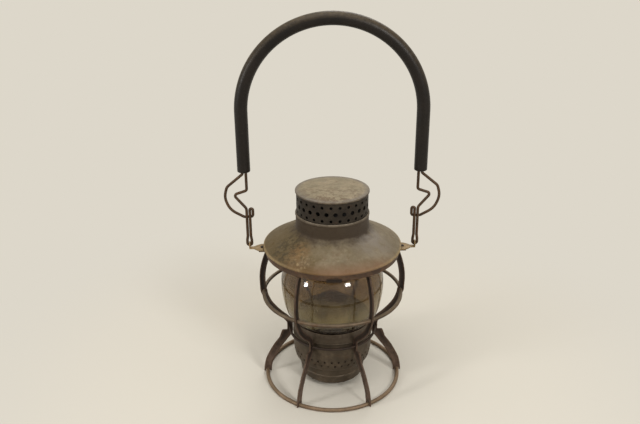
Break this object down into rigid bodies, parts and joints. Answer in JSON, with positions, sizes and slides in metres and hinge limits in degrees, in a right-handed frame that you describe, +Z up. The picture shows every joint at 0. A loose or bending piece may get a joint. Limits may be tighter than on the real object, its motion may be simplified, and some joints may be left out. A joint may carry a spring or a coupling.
{
  "type": "railroad lantern",
  "caption": "Short-globe railroad hand lantern: wire and strip cage, clear globe, vented hinged hood, twist-lock oil fount with flat-wick burner, and a swinging wire bail with a rubber grip",
  "frame": {"origin": "middle of the base ring, on the plane that it stands on", "axes": "+Z up along the lantern's axis, +X towards the right bail ear, -Y towards the front with the hood catch, +Y towards the hood hinge"},
  "size_m": [0.237, 0.161, 0.4238],
  "materials": {
    "frame_steel": "dark tarnished tinned steel, rusty on its edges",
    "base_steel": "rusty steel wire, worn lighter",
    "tinned_sheet": "dull tinned sheet with dust and rust specks",
    "dark_sheet": "sooted dark sheet steel",
    "housing_sheet": "dark brown-grey tarnished sheet",
    "glass": "clear glass, smoky with dirt",
    "rubber": "black rubber hose, dull sheen",
    "bail_steel": "dark rusty wire",
    "brass": "dull tarnished brass",
    "cotton": "woven flat cotton wick"
  },
  "bodies": {
    "frame": {"base_ring": "base_steel", "guard_ring": "frame_steel", "waist_ring": "frame_steel", "rib_1": "frame_steel", "rib_2": "frame_steel", "rib_3": "frame_steel", "rib_4": "frame_steel", "rib_5": "frame_steel", "rib_6": "frame_steel", "top_ring": "frame_steel", "bail_ear_right": "tinned_sheet", "ear_rivet_right": "frame_steel", "bail_ear_left": "tinned_sheet", "ear_rivet_left": "frame_steel", "hood_catch": "frame_steel", "hinge_lug": "frame_steel", "hinge_pin": "bail_steel", "globe_plate": "housing_sheet", "draft_shell": "housing_sheet", "globe": "glass"},
    "hood": {"hood": "tinned_sheet", "crown_drum": "dark_sheet", "crown_cap": "tinned_sheet", "smoke_bell": "dark_sheet", "globe_collar": "dark_sheet", "hinge_leaf": "tinned_sheet"},
    "bail": {"bail_wire": "bail_steel", "bail_grip": "rubber"},
    "fount": {"fount": "housing_sheet", "burner_collar": "brass", "burner_body": "brass", "burner_cone": "brass", "wick_tube": "brass"},
    "raiser": {"wick_shaft": "brass", "wick_wheel_1": "brass", "wick_wheel_2": "brass", "wick_knob": "brass"},
    "wick": {"wick": "cotton"}
  },
  "joints": [
    {"name": "hood_hinge", "type": "hinge", "parent": "frame", "child": "hood", "pos_m": [0, 0.0783, 0.16675], "axis": [-1, 0, 0], "range_deg": [0, 110]},
    {"name": "bail_hinge", "type": "hinge", "parent": "frame", "child": "bail", "pos_m": [0, 0, 0.1702], "axis": [1, 0, 0], "range_deg": [-110, 110]},
    {"name": "fount_twist", "type": "hinge", "parent": "frame", "child": "fount", "pos_m": [0, 0, 0.03], "axis": [0, 0, 1], "range_deg": [0, 15]},
    {"name": "wick_turn", "type": "hinge", "parent": "fount", "child": "raiser", "pos_m": [0.0056, 0, 0.0565], "axis": [0, 1, 0], "range_deg": [-100, 60]},
    {"name": "wick_lift", "type": "slide", "parent": "fount", "child": "wick", "axis": [0, 0, 1], "range_m": [-0.0075, 0.005]}
  ],
  "couplings": [
    {"joint": "wick_lift", "follows": "wick_turn", "m_per_rad": 0.0042}
  ]
}
